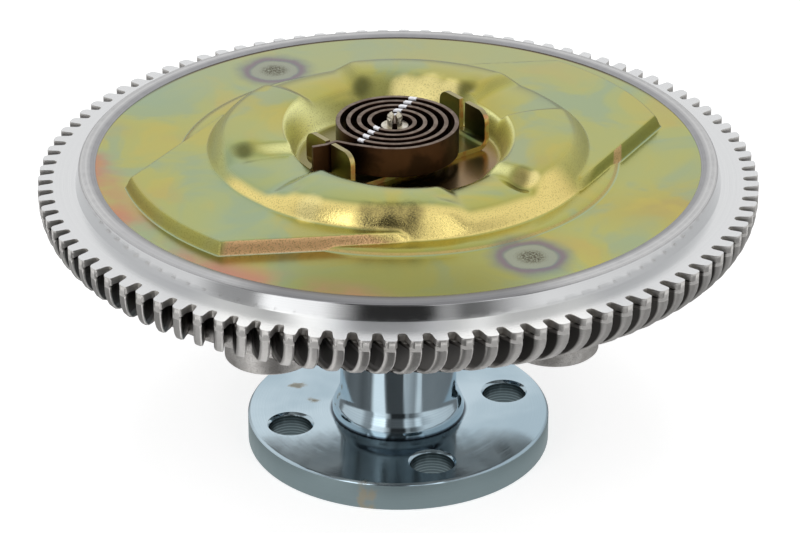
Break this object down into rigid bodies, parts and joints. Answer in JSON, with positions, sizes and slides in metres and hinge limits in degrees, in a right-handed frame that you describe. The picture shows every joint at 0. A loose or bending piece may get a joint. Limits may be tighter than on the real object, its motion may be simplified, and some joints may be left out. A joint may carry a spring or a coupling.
{
  "type": "viscous fan clutch",
  "caption": "Viscous fan clutch with a flanged drive shaft, a finned housing, a pressed cover and a bimetal coil that turns the inner valve.",
  "frame": {"origin": "centre of the drive flange's bottom face, on the clutch's axis", "axes": "+Z along the shaft from the flange to the bimetal coil; +X and +Y across it"},
  "size_m": [0.242, 0.242, 0.1226],
  "materials": {
    "zinc_steel": "satin",
    "bearing_steel": "polished",
    "spring_steel": "satin",
    "cast_aluminium": "cast, machined on the rim",
    "turned_aluminium": "satin",
    "yellow_zinc": "yellow passivated zinc",
    "strap_zinc": "yellow passivated zinc",
    "plate_steel": "satin",
    "seal_rubber": "matte",
    "pin_steel": "satin",
    "bush_brass": "satin",
    "bimetal": "heat tinted"
  },
  "bodies": {
    "drive": {"drive_shaft": "zinc_steel", "rotor": "turned_aluminium", "bearing_inner_ring": "bearing_steel"},
    "roller_set": {"bearing_rollers": "bearing_steel"},
    "housing": {"clutch_body": "cast_aluminium", "cover_plate": "yellow_zinc", "cover_seal_ring": "seal_rubber", "bearing_outer_ring": "bearing_steel", "bearing_retaining_ring": "spring_steel", "partition_plate": "plate_steel", "partition_stud_1": "plate_steel", "partition_stud_2": "plate_steel", "pump_wiper": "plate_steel", "valve_bush": "bush_brass", "valve_shaft_seal": "seal_rubber", "bimetal_bracket": "strap_zinc", "bracket_rivet_1": "pin_steel", "bracket_rivet_2": "pin_steel", "bimetal_coil": "bimetal"},
    "valve": {"valve_shaft": "pin_steel", "valve_lever": "spring_steel"}
  },
  "joints": [
    {"name": "fan_spin", "type": "hinge", "parent": "drive", "child": "housing", "pos_m": [0, 0, 0.0725], "axis": [0, 0, 1], "continuous": true},
    {"name": "roller_orbit", "type": "hinge", "parent": "drive", "child": "roller_set", "pos_m": [0, 0, 0.0725], "axis": [0, 0, 1], "continuous": true},
    {"name": "valve_turn", "type": "hinge", "parent": "housing", "child": "valve", "pos_m": [-0.0012, 0.0005, 0.103], "axis": [0, 0, 1], "range_deg": [0, 35], "stiffness_Nm_per_rad": 0.05, "deforming": ["bimetal_coil"]}
  ],
  "couplings": [
    {"joint": "roller_orbit", "follows": "fan_spin", "ratio": 0.5833}
  ]
}
